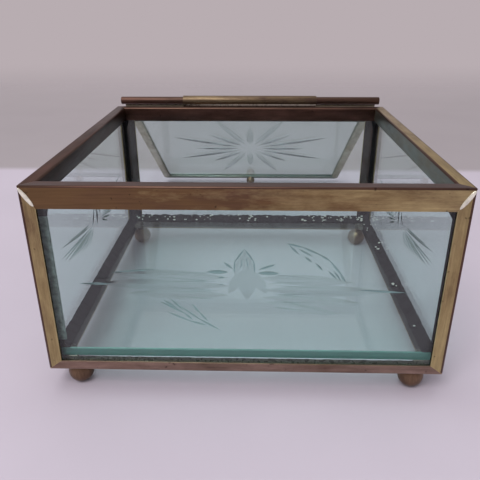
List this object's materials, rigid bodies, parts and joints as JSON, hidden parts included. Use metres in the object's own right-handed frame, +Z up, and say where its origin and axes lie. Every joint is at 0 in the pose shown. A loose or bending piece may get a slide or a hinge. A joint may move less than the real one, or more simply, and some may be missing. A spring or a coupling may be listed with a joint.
{
  "type": "glass casket box",
  "caption": "Rectangular trinket box of clear glass panes in brass section, on ball feet, with a framed glass lid that swings right over its back on a rod hinge.",
  "frame": {"origin": "on the table, under the middle of the outline that the box and its open lid cover together", "axes": "+Z up from the table, +X to the right along the hinge, +Y from the front of the box to its hinge and its open lid"},
  "size_m": [0.1204, 0.2096, 0.0711],
  "materials": {
    "clear_glass": "polished float glass with a green edge",
    "engraved_glass": "polished float glass with matt wheel-cut engraving",
    "aged_brass": "aged, brown patina, rubbed brighter on edges",
    "dark_brass": "dark brown patina",
    "foot_brass": "tarnished, polished on the curve",
    "solder": "bright soft solder, slightly yellowed"
  },
  "bodies": {
    "box": {"front_glass": "engraved_glass", "rear_glass": "clear_glass", "left_glass": "engraved_glass", "right_glass": "engraved_glass", "base_glass": "clear_glass", "rim_front": "aged_brass", "rim_right": "aged_brass", "rim_rear": "aged_brass", "rim_left": "aged_brass", "post_front_left": "aged_brass", "post_front_right": "aged_brass", "post_rear_left": "aged_brass", "post_rear_right": "aged_brass", "bottom_angle_front": "dark_brass", "bottom_angle_right": "dark_brass", "bottom_angle_rear": "dark_brass", "bottom_angle_left": "dark_brass", "rim_solder_front_left": "solder", "rim_solder_front_right": "solder", "rim_solder_rear_left": "solder", "rim_solder_rear_right": "solder", "base_solder_front_left": "solder", "base_solder_front_right": "solder", "base_solder_rear_left": "solder", "base_solder_rear_right": "solder", "foot_front_left": "foot_brass", "foot_front_right": "foot_brass", "foot_rear_left": "foot_brass", "foot_rear_right": "foot_brass", "hinge_sleeve": "aged_brass", "hinge_sleeve_solder": "solder"},
    "lid": {"lid_glass": "engraved_glass", "lid_edging_front": "aged_brass", "lid_edging_right": "aged_brass", "lid_edging_rear": "aged_brass", "lid_edging_left": "aged_brass", "hinge_rod": "dark_brass", "hinge_rod_solder_left": "solder", "hinge_rod_solder_right": "solder", "lid_knob": "foot_brass"}
  },
  "joints": [
    {"name": "lid_hinge", "type": "hinge", "parent": "box", "child": "lid", "pos_m": [0, 0.01, 0.06895], "axis": [1, 0, 0], "range_deg": [0, 214.46]}
  ]
}
